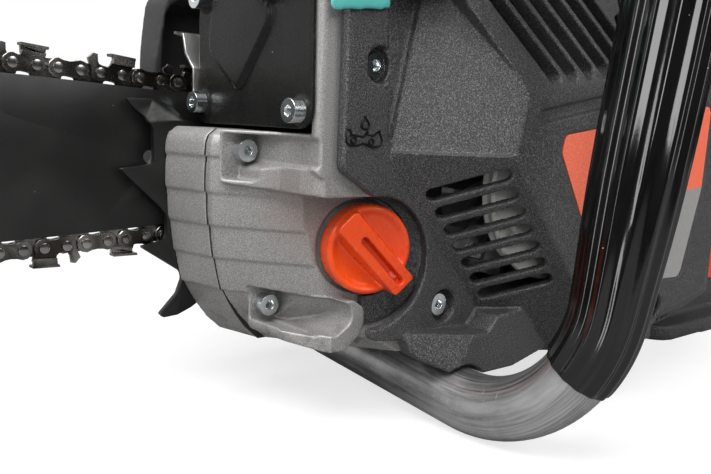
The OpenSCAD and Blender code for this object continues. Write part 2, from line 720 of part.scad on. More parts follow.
// Screws of the cover: position in side view, Y of the seat under the head, and length below it
starter_screw_spots = [
    [strip_screw.x, strip_screw.y, -82, 2], [-50.5, 48.2, -82, 6], [98, 152, dome_y + 11, 6],
        [62, 40, dome_y + 11, 6]
];
function cup_depth(y) = y < flange_y ? 10 : 3;
lug = [-78, 182];
strip_gap = [[-85, 113], [-87.2, 146], [-88.4, 168], [-71.8, 168], [-84, 112]];
module starter_cover() {
    color("Black") difference() {
        union() {
            difference() {
                union() {
                    side(flange_y, -84) polygon(flange_outline());
                    dome(0);
                    difference() {
                        side(-101, -84) polygon(rounded(
                            [[-74, 40], [-70, 31], [-52, 21.5], [-20, 21], [4, 26], [16, 47], [-31, 44.5],
                                [-37, 38]],
                            [2, 3, 3, 3, 3, 3, 3, 2]));
                        beyond([-78, -86, 40], leg_n);
                    }
                    side(-98, -84.2)
                        polygon(rounded([[-88, 167], [-66, 167], [-68, 182], [-70, 191], [-86, 191]],
                            [2, 2, 4, 7, 7]));
                }
                difference() {
                    dome(3.5);
                    translate([-200, -300, 100]) cube([144, 400, 100]);
                }
                casting_envelope();
            }
            intersection() {
                on_cap() difference() {
                    translate([4, 0, 0.6]) cylinder(r = 27, h = 2.3);
                    cylinder(r = cap_d / 2 + 1.8, h = 20);
                }
                translate([-84, -120, 38]) cube([60, 60, 62]);
            }
            shaft(0, crank_z, dome_y + 2, -92, post_r);
            for (s = starter_screw_spots) shaft(s.x, s.y, s.z - cup_depth(s.z), s.z + 2.4, 9.2);
        }
        on_cap() translate([4, 0, 3.2]) cylinder(r = 25, h = 40);
        on_cap() translate([0, 0, -8]) cylinder(r = cap_d / 2 + 1.4, h = 40);
        lower_slots();
        upper_slots();
        heel_grooves();
        for (s = starter_screw_spots) {
            shaft(s.x, s.y, -140, s.z, 6.6);
            shaft(s.x, s.y, -140, -50, 2.6);
        }
        side(dome_y - 5, dome_y + 0.9) polygon(label_outline);
        side(flange_y - 1, flange_y + 3) polygon(strip_gap);
        side(dome_y - 5, dome_y + 2) polygon(rounded([[-36, 122.5], [10, 130.5], [9, 135.5], [-35, 127.5]],
            1.8));
        shaft(lug.x, lug.y, -140, -60, 4.05);
        handle_tube(tube_r + 1.5);
    }
}
module starter_screws() {
    color("Silver") for (s = starter_screw_spots)
        translate([s.x, s.z - 3.1, s.y]) rotate([90, 0, 0]) socket_screw(9, 3.1, 5, s[3], 4.4);
}

label_outline_inner = rounded([[-18.3, 118.5], [-20.2, 111.5], [-3.9, 86.2], [16.4, 54.7], [83.5, 52.7],
    [97.7, 95], [99.7, 134.9]], [3, 4, 20, 3, 5, 16, 4]);

// Bare plate in the cover's label recess
module side_label() {
    color("OrangeRed") side(dome_y + 0.15, dome_y + 0.85) polygon(label_outline_inner);
}

// Pull grip of the starter, seated on top of the cover
module starter_grip() {
    color("Black") difference() {
        union() {
            across(34, 70) polygon(rounded([[-110, 176], [-110, 190], [-90, 190], [-90, 176]], 5));
            post(52, -100, 170.7, 177, 6);
        }
        for (y = [-111, -87.6]) translate([40, y - 1, 180]) cube([24, 2.6, 6]);
    }
}

// Oil cap: dished disc with a slotted grip bar
cap_r = cap_d / 2;
module cap_body(r, grip_turn) {
    rotate_extrude() polygon(rounded(
        [[0, -8], [r - 5, -8], [r - 5, 0.4], [r, 0.4], [r, 8.4], [r - 1.6, 9.4], [r - 4, 7.6], [0, 5.4]],
        [0, 1, 0, 1, 1, 0.6, 2, 0], 4));
    rotate(grip_turn) difference() {
        upright_local(4, 13) polygon(rounded(
            [[-r + 0.8, -7], [2 - r / 2, -6.6], [r + 2.4, -5.2], [r + 2.4, 5.2], [2 - r / 2, 6.6],
                [-r + 0.8, 7]],
            [4.5, 10, 1.8, 1.8, 10, 4.5]));
        upright_local(7.5, 14) polygon(rounded([[-7, -1.5], [r + 0.4, -1.5], [r + 0.4, 1.5], [-7, 1.5]],
            1.4));
        for (m = [0, 1]) mirror([0, m, 0]) translate([-30, 7.6, 4]) rotate([16, 0, 0]) cube([60, 10, 20]);
    }
}
module upright_local(z0, z1) { translate([0, 0, z0]) linear_extrude(z1 - z0) children(); }
module oil_cap() { color("OrangeRed") on_cap() cap_body(cap_r, 44); }
module oil_cap_seal() {
    color("Black") on_cap() translate([0, 0, -1.5]) rotate_extrude() translate([cap_r - 3.4, 0])
        circle(1.3, $fn = 24);
}

// Clutch: shoes on the crankshaft, drum with the rim sprocket, and the brake band round it
drum_r = 35.5;
module clutch_hub() {
    color("Gray") difference() {
        turned(0, crank_z, [[6.02, 9], [31.5, 9], [32.5, 10], [32.5, 22], [31.5, 23], [14, 23], [12, 25],
            [6.02, 25]]);
        for (k = [0:2]) rotate_about_crank(k * 120) {
            translate([10, 5, crank_z - 1.2]) cube([30, 25, 2.4]);
            shaft(21, crank_z + 9, 5, 30, 4);
        }
    }
}
rim_r = drive_rivet_r - 4.2;
sprocket_phase = wrap_from + (chain_phase + step - drive_l / 2) / drive_rivet_r * 180 / PI;
module clutch_drum() {
    color("Gray") union() {
        turned(0, crank_z, [[6.1, 4.2], [9, 4.2], [9, 5.6], [drum_r - 2, 5.6], [drum_r, 7.4], [drum_r, 26],
            [drum_r - 2, 26], [drum_r - 2, 7.6], [6.1, 7.6]]);
        turned(0, crank_z, [[6.1, 0.9], [rim_r, 0.9], [rim_r, 4.4], [6.1, 4.4]]);
        turned(0, crank_z, [[6.1, -4.4], [rim_r, -4.4], [rim_r, -0.9], [6.1, -0.9]]);
        turned(0, crank_z, [[6.1, -1], [7.4, -1], [7.4, 1], [6.1, 1]]);
        for (k = [0:drive_teeth - 1])
            rotate_about_crank(-sprocket_phase - (k + 0.5) * 360 / drive_teeth)
                translate([6.8, -1, crank_z - 0.9])
                cube([rim_r - 7.6, 2, 1.8]);
    }
}
module brake_band() {
    color("Gray") difference() {
        shaft(0, crank_z, 11, 21, drum_r + 1.7);
        shaft(0, crank_z, 10, 22, drum_r + 0.5);
        translate([-60, 5, crank_z + 12]) cube([40, 20, 8]);
    }
}

// Clutch cover: moulded shell that clamps the bar
bar_stud_x = [-98, -68];
function clutch_outline(g) = rounded(
    [[-128 + g, 140], [-128 + g, 80 + g / 2], [-114, 62 + g], [-60, 52 + g], [-30, 44 + g], [2, 42 + g],
        [42 - g, 58], [54 - g, 96],
     [44 - g, 132], [18, 141 - g], [-30, 143 - g], [-62, 166 - g], [-72, 172 - g], [-122, 172 - g]],
    [6, 8, 12, 10, 12, 14, 14, 20, 14, 12, 12, 14, 8, 10]
);
module clutch_cover() {
    color("DimGray") difference() {
        union() {
            difference() {
                intersection() {
                    side(11, cover_out) polygon(clutch_outline(0));
                    upright(0, 200) polygon(rounded([[-128, 5], [-128, 26], [-108, cover_out],
                        [30, cover_out], [55, 30], [55, 5]], [1, 8, 24, 30, 10, 1]));
                }
                side(5, cover_out - 4) polygon(clutch_outline(4));
            }
            side(bar_t / 2 + 0.02, cover_out - 3)
                polygon(rounded([[-122, 90], [-52, 90], [-52, 114], [-122, 114]], 6));
            side(12, 30) polygon(rounded([[-92, 164], [-64, 164], [-69, 182], [-72, 191], [-84, 191],
                [-87, 182]], [2, 2, 6, 7, 7, 6]));
        }
        for (x = bar_stud_x) {
            shaft(x, bar_z, 0, 60, 4.3);
            shaft(x, bar_z, 28, 60, 10.4);
        }
        for (k = [0:4]) translate([-22 + k * 9, 30, 70 + k * 2]) rotate([0, 20, 0]) cube([4, 20, 34]);
        shaft(lug.x, lug.y, 0, 60, 4.05);
    }
}
module bar_studs() { color("Silver") for (x = bar_stud_x) shaft(x, bar_z, -24.8, 37, 3.95); }
module bar_nuts() {
    color("Silver") difference() {
        union() for (x = bar_stud_x) {
            shaft(x, bar_z, 28.1, 30, 9.4);
            translate([x, 36, bar_z]) rotate([90, 0, 0]) cylinder(r = 7.4, h = 6.5, $fn = 6);
        }
        for (x = bar_stud_x) shaft(x, bar_z, 20, 60, 3.97);
    }
}

// Guide bar: two side plates over a narrower core, open at the nose for its sprocket
plate_gap = 0.8;
module bar_plate(y0, y1) {
    side(y0, y1) difference() {
        polygon(bar_outline(0, tail_x));
        for (x = [-112, -54]) translate([x, bar_z]) circle(4.3);
        translate([-112, bar_z - 4.3]) square([58, 8.6]);
        for (z = [-15, 15]) translate([-60, bar_z + z]) circle(3);
        for (z = [-19, 19]) translate([-74, bar_z + z]) circle(1.6);
        translate([-136.4, bar_z + 0.7]) circle(2.6);
    }
}
module guide_bar() {
    color("DimGray") union() {
        bar_plate(-bar_t / 2, -plate_gap);
        bar_plate(plate_gap, bar_t / 2);
        difference() {
            bar_plate_core();
            shaft(nose_x, bar_z, -5, 5, nose_r + 1);
        }
        shaft(nose_x, bar_z, -plate_gap - 0.1, plate_gap + 0.1, 8);
    }
}
module bar_plate_core() {
    side(-plate_gap - 0.1, plate_gap + 0.1) difference() {
        polygon(bar_outline(-groove_depth, tail_x));
        for (x = [-112, -54]) translate([x, bar_z]) circle(4.3);
        translate([-112, bar_z - 4.3]) square([58, 8.6]);
        for (z = [-15, 15]) translate([-60, bar_z + z]) circle(3);
        translate([-136.4, bar_z + 0.7]) circle(2.6);
    }
}
nose_start = reach[sprocket_steps + 1 + rail_steps];
nose_phase = nose_turn + (chain_phase - drive_l / 2 - nose_start) / nose_rivet_r * 180 / PI;
module nose_sprocket() {
    color("Silver") side(-0.6, 0.6) difference() {
        union() {
            translate([nose_x, bar_z]) circle(nose_rivet_r - 11.2);
            for (k = [0:nose_teeth - 1]) translate([nose_x, bar_z])
                rotate(nose_phase + (k + 0.5) * 360 / nose_teeth)
                polygon([[10, -3], [nose_rivet_r - 8, -1.4], [nose_rivet_r - 5.4, -0.6],
                    [nose_rivet_r - 5.4, 0.6], [nose_rivet_r - 8, 1.4], [10, 3]]);
        }
        translate([nose_x, bar_z]) circle(8.06);
    }
}

// Saw chain
near_y = -gauge / 2 - strap_t;
links = [0:link_count - 1];
module drive_links() {
    color("DimGray") side(-gauge / 2, gauge / 2)
        for (k = links) link_between(trail(k), along(chain_phase + k * step - drive_l)) polygon(drive_shape);
}
module strap_row(skip) {
    for (k = links) if (k % 4 != skip) link_between(lead(k), trail(k)) polygon(strap_shape);
}
module tie_straps() {
    color("Gray") {
        side(near_y, -gauge / 2) strap_row(0);
        side(gauge / 2, -near_y) strap_row(2);
    }
}
module cutter_row(which, y0, y1, outline) {
    side(y0, y1) for (k = links) if (k % 4 == which) link_between(lead(k), trail(k)) polygon(outline);
}
module cutters_near() {
    color("Silver") {
        cutter_row(0, near_y, -gauge / 2, cutter_plate);
        cutter_row(0, near_y - 1.2, near_y + 0.4, cutter_side);
        cutter_row(0, near_y - 1.2, 0.8, cutter_top);
    }
}
module cutters_far() {
    color("Silver") {
        cutter_row(2, gauge / 2, -near_y, cutter_plate);
        cutter_row(2, -near_y - 0.4, -near_y + 1.2, cutter_side);
        cutter_row(2, -0.8, -near_y + 1.2, cutter_top);
    }
}
rivet_r = 2;
rivet_h = 0.8;
module rivet_row(y0, y1) {
    side(y0, y1) for (k = links) for (p = [lead(k), trail(k)]) translate(p) circle(rivet_r, $fn = 20);
}
module chain_rivets() {
    color("Silver") {
        rivet_row(near_y - rivet_h, near_y);
        rivet_row(-near_y, -near_y + rivet_h);
    }
}

// Spike bumper in front of the casting, its screws, and the chain catcher below
spike_outline = [
    [-108, 60], [-108, 114], [-122, 117.5], [-129.5, 123.3], [-137.2, 126], [-148.7, 125.6], [-146, 122.4],
    [-140.2, 118.2], [-137.2, 114.6], [-136.8, 103.4], [-137.4, 100], [-150.6, 98.4], [-149.4, 96.6],
    [-133.8, 82.8], [-130.7, 79.2], [-130.6, 70.8], [-132.1, 68.7], [-142, 67], [-140.5, 65.8], [-124, 55.3],
    [-123.2, 52.3], [-125.6, 46], [-133.3, 38.2], [-131.8, 36.6], [-125.4, 37], [-119, 39.5], [-114.8, 42]
];
spike_round = [
    6, 4, 6, 5, 3, 0.4, 2, 4, 4, 4, 2, 0.4, 0.4, 5, 4, 4, 2, 0.4, 0.4, 3, 3, 4, 0.4, 0.4, 3, 5, 6
];
spike_screw_spots = [[-116, 108], [-116, 85]];
module spike_bumper() {
    color("Black") side(-6.9, -4.2) difference() {
        polygon(rounded(spike_outline, spike_round, 4));
        for (s = spike_screw_spots) translate(s) circle(2.6);
    }
}
module spike_screws() {
    color("Silver") for (s = spike_screw_spots) {
        shaft(s.x, s.y, -4.1, -2.4, 4.4);
        shaft(s.x, s.y, -7, -4, 2.5);
    }
}
module chain_catcher() {
    color("Black") union() {
        shaft(-92, 52, -6.9, 9, 4.5);
        shaft(-92, 52, -1, 8, 6);
    }
}

// Front handle: a bent tube in a leaning plane, and its ribbed grip sleeve that swells towards the middle
tube_r = tube_d / 2;
tube_wall = 2.2;
handle_foot_x = -50.5;
handle_bends = [51.5, 54, 46];
handle_points = [[-14, 15.2], [-155.2, 0], [handle_side - 5, handle_rise], [20, handle_rise], [20, 158]];
function bend_part(i) =
    let (a = handle_points[i - 1], b = handle_points[i], c = handle_points[i + 1], r = handle_bends[i - 1])
    let (u = unit(a - b), v = unit(c - b), half = acos(u * v) / 2, o = b + unit(u + v) * r / sin(half))
    let (s = b + u * r / tan(half), e = b + v * r / tan(half))
    [o, s, e, atan2(s.y - o.y, s.x - o.x), (180 - 2 * half) * sign(cross(b - a, c - b)), r];
bend_1 = bend_part(1);
bend_2 = bend_part(2);
bend_3 = bend_part(3);
handle_base_z = tube_r - (bend_1[0].y - bend_1[5]) * cos(handle_lean);
module in_handle_plane() { translate([handle_foot_x, 0, handle_base_z]) rotate([0, handle_lean, 0])
    children(); }
join = 0.5;
join_gap = 0.02;
module run(p, q) {
    translate([0, p.x, p.y]) rotate([atan2(p.x - q.x, q.y - p.y), 0, 0]) translate([0, 0, -join])
        linear_extrude(norm(q - p) + 2 * join) children();
}
module bend(part, from, to) {
    start = part[3] + part[4] * (part[4] > 0 ? from : to);
    translate([0, part[0].x, part[0].y]) rotate([90, 0, 90]) rotate([0, 0, start])
        rotate_extrude(angle = abs(part[4]) * (to - from), $fn = 96) translate([part[5], 0]) children();
}
module handle_tube(r, past = 0) {
    start = handle_points[0] + unit(handle_points[0] - bend_1[1]) * past;
    end = handle_points[4] + unit(handle_points[4] - bend_3[2]) * past;
    in_handle_plane() {
        run(start, bend_1[1]) circle(r - join_gap);
        bend(bend_1, 0, 1) circle(r);
        run(bend_1[2], bend_2[1]) circle(r - join_gap);
        bend(bend_2, 0, 1) circle(r);
        run(bend_2[2], bend_3[1]) circle(r - join_gap);
        bend(bend_3, 0, 1) circle(r);
        run(bend_3[2], end) circle(r - join_gap);
    }
}
module front_handle() {
    color("Silver") difference() {
        handle_tube(tube_r);
        handle_tube(tube_r - tube_wall, 2);
    }
}

// Grip sleeve: a ribbed section carried along the tube, from the lower bend to the cross bar
sleeve_r = sleeve_d / 2;
sleeve_low_r = 14.2;
sleeve_bore_r = tube_r + 0.25;
rib_count = 14;
rib_depth = 1.5;
points_per_rib = 4;
ring_n = rib_count * points_per_rib;
sleeve_from = 0.67;
swell = 50;
sleeve_end = [-20, handle_rise];
leg_dir = unit(bend_2[1] - bend_1[2]);
leg_angle = bend_1[3] + bend_1[4];
function bend_station(part, t, r) =
    let (a = part[3] + part[4] * t)
    [part[0] + part[5] * [cos(a), sin(a)], a, r];
sleeve_stations = concat(
    [for (k = [0:4]) bend_station(bend_1, sleeve_from + (1 - sleeve_from) * k / 4, sleeve_low_r)],
    [[bend_1[2] + leg_dir * swell, leg_angle, sleeve_r]],
    [for (k = [0:12]) bend_station(bend_2, k / 12, sleeve_r)],
    [[sleeve_end, bend_2[3] + bend_2[4], sleeve_r]]
);
station_n = len(sleeve_stations);
function ring_point(s, rho, phi) =
    [rho * cos(phi), s[0].x + rho * sin(phi) * cos(s[1]), s[0].y + rho * sin(phi) * sin(s[1])];
function rib_drop(phi) = rib_depth * pow((1 - cos(rib_count * (phi - 90))) / 2, 0.8);
function ring_at(i, j) = (i % (2 * station_n)) * ring_n + j % ring_n;
function strip(i) =
    [for (j = [0:ring_n - 1])
        let (a = ring_at(i, j), b = ring_at(i, j + 1), c = ring_at(i + 1, j + 1), d = ring_at(i + 1, j))
        each [[a, b, c], [a, c, d]]];
function sleeve_points() = concat(
    [for (s = sleeve_stations, j = [0:ring_n - 1])
        let (phi = 360 * j / ring_n) ring_point(s, s[2] - rib_drop(phi), phi)],
    [for (k = [station_n - 1:-1:0], j = [0:ring_n - 1])
        ring_point(sleeve_stations[k], sleeve_bore_r, 360 * j / ring_n)]
);
module handle_sleeve() {
    color("Black") in_handle_plane()
        polyhedron(sleeve_points(), [for (i = [0:2 * station_n - 1]) each strip(i)]);
}

// Hand guard that works the chain brake, hinged on two lugs
function guard_outline() = rounded(
    [[-87, 182], [-78, 173], [-69, 182], [-70, 226], [-62, 274], [-57, 297], [-62, 299], [-70, 278],
        [-80, 230]],
    [7, 8, 7, 30, 40, 2, 2, 40, 30]
);
module guard_arm(y0, y1) {
    difference() {
        side(y0, y1) polygon(guard_outline());
        shaft(lug.x, lug.y, y0 - 1, y1 + 1, 4.08);
    }
}
module hand_guard() {
    color("Black") union() {
        guard_arm(-104.6, -98.4);
        guard_arm(30.4, 36.4);
        difference() {
            side(-150, 36.4) polygon(guard_outline());
            translate([-120, -160, 160]) cube([120, 210, 70]);
            translate([-120, -92, 160]) cube([120, 116, 100]);
            side(-149, 35) polygon([[-76, 229], [-66, 278], [-61, 295], [-40, 295], [-50, 262], [-64, 226]]);
        }
    }
}
module guard_pins() {
    color("Silver") {
        shaft(lug.x, lug.y, -106, -86, 4);
        shaft(lug.x, lug.y, 11, 38, 4);
    }
}

// Rear handle with the fuel tank in front of it and a wide foot below
handle_y = [-64, -26];
grip_hole = rounded([[162, 30], [246, 26], [252, 50], [240, 92], [222, 106], [166, 122], [158, 114]],
    [10, 14, 20, 24, 20, 8, 6]);
function handle_outline() = rounded(
    [[118, 18], [150, 0], [270, 0], [rear_x, 12], [276, 56], [258, 112], [232, 132], [166, 148], [124, 152],
        [118, 146]],
    [8, 10, 4, 8, 40, 26, 26, 30, 8, 4]
);
trigger_pivot = [176, 126];
lock_pivot = [236, 122];
fuel_centre = [134, -97, 66];
switch_spot = [131, 134];
module rear_handle() {
    color("Black") difference() {
        union() {
            side(handle_y[0], handle_y[1]) polygon(handle_outline());
            intersection() {
                side(-97, 6) polygon(rounded([[117, 40], [156, 34], [152, 112], [117, 120]], [8, 10, 20, 6]));
                upright(0, 200) polygon(rounded([[117, -97], [146, -97], [158, -70], [158, -20], [146, 6],
                    [117, 6]], [4, 14, 14, 14, 14, 4]));
            }
            side(-60, 30) polygon(rounded([[62, 26], [118, 22], [118, 122], [62, 122]], [10, 4, 4, 10]));
            upright(0, 9) polygon(rounded(
                [[150, -78], [262, -82], [rear_x, -66], [rear_x, -24], [262, -8], [150, -12]],
                    [12, 14, 12, 12, 14, 12]));
        }
        side(-56, 26) polygon(rounded([[66, 30], [119, 30], [119, 118], [66, 118]], 6));
        side(-92, 1) polygon(rounded([[118, 45], [151, 40], [148, 107], [118, 114]], 6));
        side(-200, 100) polygon(grip_hole);
        side(-54, -36) polygon([[164, 100], [206, 100], [206, 138], [164, 138]]);
        side(-52, -38) polygon([[204, 118], [246, 104], [250, 150], [204, 150]]);
        shaft(trigger_pivot.x, trigger_pivot.y, -70, -20, 2.55);
        shaft(lock_pivot.x, lock_pivot.y, -70, -20, 2.55);
        shaft(fuel_centre.x, fuel_centre.z, -99, -80, 13.2);
        translate([61, -100, -10]) cube([40, 38, 200]);
        shaft(switch_spot.x, switch_spot.y, -66, -58, 7.6);
    }
}

// Upper shell of the rear handle
module handle_cover() {
    color("DimGray") difference() {
        side(handle_y[0] + 1, handle_y[1] - 1) polygon(rounded([[126, 152.4], [166, 148.4], [230, 132.6],
            [200, 146], [168, 154], [130, 158]], [1, 20, 1, 20, 20, 3]));
        side(-52.5, -37.5) polygon([[203, 118], [251, 104], [251, 170], [203, 170]]);
    }
}

// Throttle trigger and its lock, on pins through the handle
module throttle_trigger() {
    color("Black") difference() {
        side(-53.6, -36.4) union() {
            polygon(rounded([[170, 131], [182, 131], [203, 128], [200, 108], [190, 96], [184, 97],
                [188, 112], [170, 121]], [4, 3, 2, 8, 3, 2, 6, 3]));
        }
        shaft(trigger_pivot.x, trigger_pivot.y, -80, 0, 2.6);
    }
}
module throttle_lock() {
    color("Black") difference() {
        side(-51.6, -38.4) polygon(rounded([[208, 130], [232, 117], [242, 117], [241, 127], [230, 136],
            [214, 143.5], [208, 143]], [2, 4, 4, 3, 10, 3, 2]));
        shaft(lock_pivot.x, lock_pivot.y, -80, 0, 2.6);
    }
}
module handle_pins() {
    color("Silver") for (p = [trigger_pivot, lock_pivot])
        shaft(p.x, p.y, handle_y[0] + 0.4, handle_y[1] - 0.4, 2.5);
}

// Fuel cap on the tank's left side
fuel_r = 17;
module fuel_cap() {
    color("OrangeRed") on_plane([fuel_centre.x, fuel_centre.y - 1.2, fuel_centre.z], [0, -1, 0])
        cap_body(fuel_r, 0);
}

// Stop switch and choke knob on the handle's left side and the hood's rear
module stop_switch() {
    color("OrangeRed") union() {
        shaft(switch_spot.x, switch_spot.y, -70, -58.4, 7.3);
        translate([switch_spot.x - 2.5, -74, switch_spot.y - 6]) cube([5, 5, 12]);
    }
}
module choke_knob() {
    color("Black") union() {
        pipe_x(101.4, 124, -28, 167, 3);
        pipe_x(119, 127, -28, 167, 8);
    }
}

// Rubber mounts between the engine and the handle unit
module damper_mounts() {
    color("Black") for (p = [[-50, 44], [-20, 44], [-50, 104], [-20, 104]]) pipe_x(58.2, 61.9, p.x, p.y, 9);
}

// Frame origin: the middle of the whole saw's outline on the ground
rear_x = 278;
function cutter_tip(k) =
    let (a = lead(k), d = unit(trail(k) - a))
    a.x + min([for (c = concat(cutter_top, cutter_plate)) d.x * c.x - d.y * c.y]);
front_x = min([for (k = [0:2:link_count - 1]) cutter_tip(k)]);
left_y = bend_2[0].x - bend_2[5] - sleeve_r;
right_y = cover_out;
module placed() { translate([-(front_x + rear_x) / 2, -(left_y + right_y) / 2, 0]) children(); }

placed() crankcase_right();
placed() crankcase_left();
placed() crankcase_gasket();
placed() crankcase_screws();
placed() crankshaft();
placed() crank_bearings();
placed() crank_pin();
placed() connecting_rod();
placed() piston();
placed() engine_cylinder();
placed() spark_plug();
placed() plug_boot();
placed() muffler_body();
placed() muffler_shield();
placed() muffler_bracket();
placed() muffler_bolts();
placed() intake_boot();
placed() carburettor();
placed() air_filter();
placed() top_cover();
placed() flywheel();
placed() rope_reel();
placed() starter_cover();
placed() starter_screws();
placed() starter_grip();
placed() side_label();
placed() oil_cap();
placed() oil_cap_seal();
placed() clutch_hub();
placed() clutch_drum();
placed() brake_band();
placed() clutch_cover();
placed() bar_studs();
placed() bar_nuts();
placed() guide_bar();
placed() nose_sprocket();
placed() drive_links();
placed() tie_straps();
placed() cutters_near();
placed() cutters_far();
placed() chain_rivets();
placed() spike_bumper();
placed() spike_screws();
placed() chain_catcher();
placed() front_handle();
placed() handle_sleeve();
placed() hand_guard();
placed() guard_pins();
placed() rear_handle();
placed() handle_cover();
placed() throttle_trigger();
placed() throttle_lock();
placed() handle_pins();
placed() fuel_cap();
placed() stop_switch();
placed() choke_knob();
placed() damper_mounts();
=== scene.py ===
import json
import math

import bmesh
import bpy
from mathutils import Matrix, Vector


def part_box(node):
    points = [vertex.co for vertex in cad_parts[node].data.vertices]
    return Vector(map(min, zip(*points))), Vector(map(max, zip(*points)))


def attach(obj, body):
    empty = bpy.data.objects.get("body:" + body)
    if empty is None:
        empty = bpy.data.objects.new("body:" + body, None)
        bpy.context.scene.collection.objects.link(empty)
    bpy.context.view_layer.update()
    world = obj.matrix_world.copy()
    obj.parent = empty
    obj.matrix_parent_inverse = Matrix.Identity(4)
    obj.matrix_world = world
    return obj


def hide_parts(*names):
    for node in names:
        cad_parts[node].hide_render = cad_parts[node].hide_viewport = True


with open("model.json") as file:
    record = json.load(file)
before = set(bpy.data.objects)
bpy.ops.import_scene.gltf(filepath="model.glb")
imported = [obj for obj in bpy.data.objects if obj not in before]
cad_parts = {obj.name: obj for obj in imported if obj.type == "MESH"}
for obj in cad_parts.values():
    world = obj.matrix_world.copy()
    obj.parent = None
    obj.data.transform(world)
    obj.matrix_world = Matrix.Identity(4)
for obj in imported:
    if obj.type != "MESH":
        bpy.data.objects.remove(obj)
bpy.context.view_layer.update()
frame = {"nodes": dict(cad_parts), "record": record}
nodes = frame["nodes"]
body_of = {n: body for body, names in frame["record"]["behaviour"]["bodies"].items() for n in names}
mm = 0.001


def middle(node):
    low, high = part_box(node)
    return (low + high) / 2


# Places are given in millimetres from the crank line, the bar's middle plane and the ground.
crank_x = middle("flywheel").x
bar_y = middle("guide_bar").y


def place(x, y, z):
    return Vector((crank_x + x * mm, bar_y + y * mm, z * mm))


# Node helpers


def put(tree, kind, inputs=None, **settings):
    """Adds a shader node; an input given as a socket is linked, anything else is set."""
    node = tree.nodes.new("ShaderNode" + kind)
    for key, value in settings.items():
        setattr(node, key, value)
    for key, value in (inputs or {}).items():
        if isinstance(value, bpy.types.NodeSocket):
            tree.links.new(value, node.inputs[key])
        else:
            node.inputs[key].default_value = value
    return node


def join(tree, value, socket):
    tree.links.new(value, socket)


def math_node(tree, operation, a, b=0.0):
    return put(tree, "Math", {0: a, 1: b}, operation=operation).outputs[0]


def times(tree, a, b):
    return math_node(tree, "MULTIPLY", a, b)


def spread(tree, value, low, high, to_low=0.0, to_high=1.0):
    """Maps low..high to to_low..to_high, clamped."""
    inputs = {"Value": value, "From Min": low, "From Max": high, "To Min": to_low, "To Max": to_high}
    return put(tree, "MapRange", inputs).outputs["Result"]


# A Mix node's colour sockets go by number, because its sockets share their names.
mix_a, mix_b, mix_result = 6, 7, 2


def tint(tree, factor, a, b):
    """Mixes colour a towards colour b, each a socket or three numbers."""
    a, b = (c if isinstance(c, bpy.types.NodeSocket) else (*c, 1) for c in (a, b))
    return put(tree, "Mix", {"Factor": factor, mix_a: a, mix_b: b}, data_type="RGBA").outputs[mix_result]


def on_piece(tree):
    """The piece's own coordinates, in metres."""
    return put(tree, "TexCoord").outputs["Object"]


def cloud(tree, where, scale, detail, roughness=0.5):
    """Soft noise from 0 to 1, with about scale patches to one unit of where."""
    inputs = {"Vector": where, "Scale": scale, "Detail": detail, "Roughness": roughness}
    return put(tree, "TexNoise", inputs).outputs["Fac"]


def per_metre(tree, size):
    """Texture scale for a feature of this many millimetres."""
    return math_node(tree, "DIVIDE", 1000.0, size)


def effect(name, inputs, outputs):
    """An empty shader node group with the named sockets."""
    tree = bpy.data.node_groups.new(name, "ShaderNodeTree")
    for title, default in inputs.items():
        socket = tree.interface.new_socket(title, in_out="INPUT", socket_type="NodeSocketFloat")
        socket.default_value = default
    for title in outputs:
        tree.interface.new_socket(title, in_out="OUTPUT", socket_type="NodeSocketFloat")
    return tree, tree.nodes.new("NodeGroupInput").outputs, tree.nodes.new("NodeGroupOutput").inputs


def use(tree, group, **values):
    """Places an effect in a material with its own values."""
    node = tree.nodes.new("ShaderNodeGroup")
    node.node_tree = group
    for key, value in values.items():
        node.inputs[key.capitalize()].default_value = value
    return node.outputs


# Effects that several finishes share; sizes, lengths, widths and spacings are in millimetres


def grain_effect():
    """Blasted or spark-eroded skin: fine height, specks for painted glints, and a wide mottle."""
    tree, given, out = effect("Skin grain", {"Size": 0.5}, ["Height", "Specks", "Mottle"])
    where = on_piece(tree)
    fine = cloud(tree, where, scale=per_metre(tree, given["Size"]), detail=2.5, roughness=0.6)
    wide = cloud(tree, where, scale=42.0, detail=4.0)
    join(tree, fine, out["Height"])
    # The grain's high points, which the finishes lighten as painted glints
    join(tree, spread(tree, fine, 0.47, 0.68), out["Specks"])
    join(tree, spread(tree, wide, 0.35, 0.68), out["Mottle"])
    return tree


def wear_effect():
    """Where handling has rubbed the sharp edges, broken up so that no edge is worn evenly."""
    tree, given, out = effect("Edge wear", {"Sharpness": 0.53, "Breakup": 60.0}, ["Wear"])
    edge = put(tree, "NewGeometry").outputs["Pointiness"]
    broken = spread(tree, cloud(tree, on_piece(tree), scale=given["Breakup"], detail=5.0), 0.38, 0.62)
    fully_worn = math_node(tree, "ADD", given["Sharpness"], 0.06)
    rubbed = spread(tree, edge, given["Sharpness"], fully_worn)
    join(tree, times(tree, rubbed, broken), out["Wear"])
    return tree


def dust_effect():
    """Loose specks that settle on dark parts."""
    tree, given, out = effect("Dust specks", {"Spacing": 5.0, "Speck": 0.06}, ["Dust"])
    cells = put(tree, "TexVoronoi", {"Vector": on_piece(tree), "Scale": per_metre(tree, given["Spacing"])})
    near = math_node(tree, "LESS_THAN", cells.outputs["Distance"], given["Speck"])
    pick = put(tree, "SeparateColor", {"Color": cells.outputs["Color"]}).outputs[0]
    chosen = math_node(tree, "GREATER_THAN", pick, 0.55)
    join(tree, times(tree, near, chosen), out["Dust"])
    return tree


